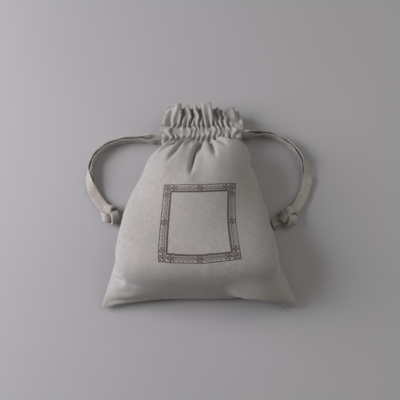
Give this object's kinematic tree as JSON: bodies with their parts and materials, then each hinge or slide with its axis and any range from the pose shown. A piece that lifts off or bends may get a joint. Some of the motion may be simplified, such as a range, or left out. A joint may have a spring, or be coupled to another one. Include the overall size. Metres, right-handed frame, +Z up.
{
  "type": "drawstring bag",
  "caption": "Small filled linen pouch lying on its back, its mouth gathered by flat drawstrings that leave a stitched casing at opposite sides and end in knots.",
  "frame": {"origin": "on the table, under the middle of the bag's own box without its free drawstrings", "axes": "+X across the bag to its right side seam, +Y from the bottom seam to the mouth, +Z up out of the front"},
  "size_m": [0.1826, 0.166, 0.0455],
  "materials": {
    "linen": "plain-woven undyed linen, matt",
    "tape": "folded and stitched linen tape, matt",
    "thread": "spun sewing thread"
  },
  "bodies": {
    "bag": {"front_panel": "linen", "back_panel": "linen", "left_seam_thread": "thread", "right_seam_thread": "thread", "bottom_seam_thread": "thread", "back_casing": "linen", "back_facing": "linen", "back_header": "linen", "back_lower_stitching": "thread", "back_upper_stitching": "thread"},
    "front_collar": {"front_casing": "linen", "front_facing": "linen", "front_header": "linen", "front_lower_stitching": "thread", "front_upper_stitching": "thread"},
    "left_drawstring": {"left_back_run": "tape"},
    "right_drawstring": {"right_back_run": "tape"},
    "left_front_drawstring": {"left_front_run": "tape"},
    "right_front_drawstring": {"right_front_run": "tape"},
    "left_loop": {"left_front_strand": "tape", "left_back_strand": "tape", "left_knot": "tape", "left_front_tail": "tape", "left_back_tail": "tape"},
    "right_loop": {"right_front_strand": "tape", "right_back_strand": "tape", "right_knot": "tape", "right_front_tail": "tape", "right_back_tail": "tape"}
  },
  "joints": [
    {"name": "mouth_open", "type": "hinge", "parent": "bag", "child": "front_collar", "pos_m": [0, 0.05185, 0.01815], "axis": [1, 0, 0], "range_deg": [0, 40]},
    {"name": "left_pull", "type": "slide", "parent": "bag", "child": "left_drawstring", "axis": [-1, 0, 0], "range_m": [0, 0.01]},
    {"name": "right_pull", "type": "slide", "parent": "bag", "child": "right_drawstring", "axis": [1, 0, 0], "range_m": [0, 0.01]},
    {"name": "left_front_pull", "type": "slide", "parent": "front_collar", "child": "left_front_drawstring", "axis": [-1, 0, 0], "range_m": [0, 0.01]},
    {"name": "right_front_pull", "type": "slide", "parent": "front_collar", "child": "right_front_drawstring", "axis": [1, 0, 0], "range_m": [0, 0.01]},
    {"name": "left_swing", "type": "hinge", "parent": "left_drawstring", "child": "left_loop", "pos_m": [-0.0346, 0.0568, 0.00985], "axis": [0, 0, -1], "range_deg": [0, 60]},
    {"name": "right_swing", "type": "hinge", "parent": "right_drawstring", "child": "right_loop", "pos_m": [0.0346, 0.0611, 0.00985], "axis": [0, 0, 1], "range_deg": [0, 60]}
  ],
  "couplings": [
    {"joint": "left_front_pull", "follows": "left_pull", "ratio": 1},
    {"joint": "right_front_pull", "follows": "right_pull", "ratio": 1}
  ]
}
